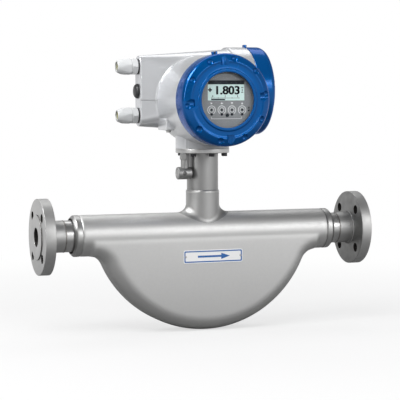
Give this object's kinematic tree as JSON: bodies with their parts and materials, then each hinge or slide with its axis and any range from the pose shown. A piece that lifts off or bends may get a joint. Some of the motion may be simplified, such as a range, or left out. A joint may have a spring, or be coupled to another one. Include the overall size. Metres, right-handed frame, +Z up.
{
  "type": "coriolis flow meter",
  "caption": "Flanged coriolis mass flow meter: twin bent measuring tubes in a half-moon steel casing, with a field transmitter on a neck.",
  "frame": {"origin": "centre of the inlet flange's raised face, on the pipe axis", "axes": "+X with the flow to the outlet flange, -Y the side that the display faces, +Z up through the neck"},
  "size_m": [0.528, 0.2225, 0.4406],
  "materials": {
    "steel": "satin",
    "dull_steel": "satin",
    "label_white": "satin",
    "copper": "satin",
    "wire": "matte",
    "black_steel": "satin",
    "grey_paint": "satin",
    "blue_paint": "gloss",
    "black_plastic": "matte",
    "board": "satin",
    "bezel_grey": "matte",
    "lcd": "gloss",
    "lens": "gloss",
    "pale_plastic": "satin",
    "terminal_green": "satin",
    "seal_olive": "matte",
    "black_rubber": "matte",
    "glass": "clear"
  },
  "bodies": {
    "meter": {"inlet_flange": "steel", "outlet_flange": "steel", "inlet_manifold": "steel", "outlet_manifold": "steel", "inlet_end_ring": "steel", "outlet_end_ring": "steel", "case_front_shell": "steel", "case_rear_shell": "steel", "case_label": "label_white", "front_tube": "steel", "rear_tube": "steel", "brace_plates": "dull_steel", "drive_coil": "copper", "drive_magnet": "dull_steel", "pickoff_coils": "copper", "pickoff_magnets": "dull_steel", "temperature_sensor": "dull_steel", "sensor_harness": "wire", "neck_socket": "steel", "neck_tube": "steel", "neck_feedthrough": "dull_steel", "neck_plate": "steel", "foot_screws": "black_steel", "ground_post": "steel", "ground_clamp": "steel", "ground_screw": "dull_steel", "transmitter_housing": "grey_paint", "earth_screw": "dull_steel", "compartment_feedthrough": "black_plastic", "electronics_can": "black_plastic", "main_board": "board", "display_bezel": "bezel_grey", "display_board": "board", "lcd_panel": "lcd", "key_lenses": "lens", "terminal_carrier": "pale_plastic", "terminal_block": "terminal_green", "terminal_screws": "dull_steel", "upper_gland_body": "pale_plastic", "lower_gland_body": "pale_plastic", "gland_washers": "black_rubber", "blind_plug": "black_plastic"},
    "display_seal_ring": {"display_cover_seal": "black_rubber"},
    "display_lid": {"display_cover": "blue_paint", "window_glass": "glass", "window_gasket": "black_rubber", "window_ring": "black_plastic", "display_lock_screw": "black_steel"},
    "terminal_seal_ring": {"terminal_cover_seal": "black_rubber"},
    "terminal_lid": {"terminal_cover": "blue_paint", "terminal_lock_screw": "black_steel"},
    "upper_seal": {"upper_gland_seal": "seal_olive"},
    "upper_nut": {"upper_gland_nut": "pale_plastic"},
    "lower_seal": {"lower_gland_seal": "seal_olive"},
    "lower_nut": {"lower_gland_nut": "pale_plastic"}
  },
  "joints": [
    {"name": "display_cover_travel", "type": "slide", "parent": "meter", "child": "display_seal_ring", "axis": [0, -1, 0], "range_m": [0, 0.01]},
    {"name": "display_cover_turn", "type": "hinge", "parent": "display_seal_ring", "child": "display_lid", "pos_m": [0.264, -0.077, 0.204], "axis": [0, -1, 0], "range_deg": [0, 1800]},
    {"name": "terminal_cover_travel", "type": "slide", "parent": "meter", "child": "terminal_seal_ring", "axis": [1, 0, 0], "range_m": [0, 0.01]},
    {"name": "terminal_cover_turn", "type": "hinge", "parent": "terminal_seal_ring", "child": "terminal_lid", "pos_m": [0.346, 0.038, 0.218], "axis": [1, 0, 0], "range_deg": [0, 1800]},
    {"name": "upper_gland_travel", "type": "slide", "parent": "meter", "child": "upper_seal", "axis": [-1, 0, 0], "range_m": [0, 0.003]},
    {"name": "upper_gland_turn", "type": "hinge", "parent": "upper_seal", "child": "upper_nut", "pos_m": [0.1607, 0.04, 0.2557], "axis": [-1, 0, 0], "range_deg": [0, 720]},
    {"name": "lower_gland_travel", "type": "slide", "parent": "meter", "child": "lower_seal", "axis": [-1, 0, 0], "range_m": [0, 0.003]},
    {"name": "lower_gland_turn", "type": "hinge", "parent": "lower_seal", "child": "lower_nut", "pos_m": [0.1607, 0.04, 0.1803], "axis": [-1, 0, 0], "range_deg": [0, 720]}
  ],
  "couplings": [
    {"joint": "display_cover_travel", "follows": "display_cover_turn", "m_per_rad": 0.0003183},
    {"joint": "terminal_cover_travel", "follows": "terminal_cover_turn", "m_per_rad": 0.0003183},
    {"joint": "upper_gland_travel", "follows": "upper_gland_turn", "m_per_rad": 0.0002387},
    {"joint": "lower_gland_travel", "follows": "lower_gland_turn", "m_per_rad": 0.0002387}
  ]
}
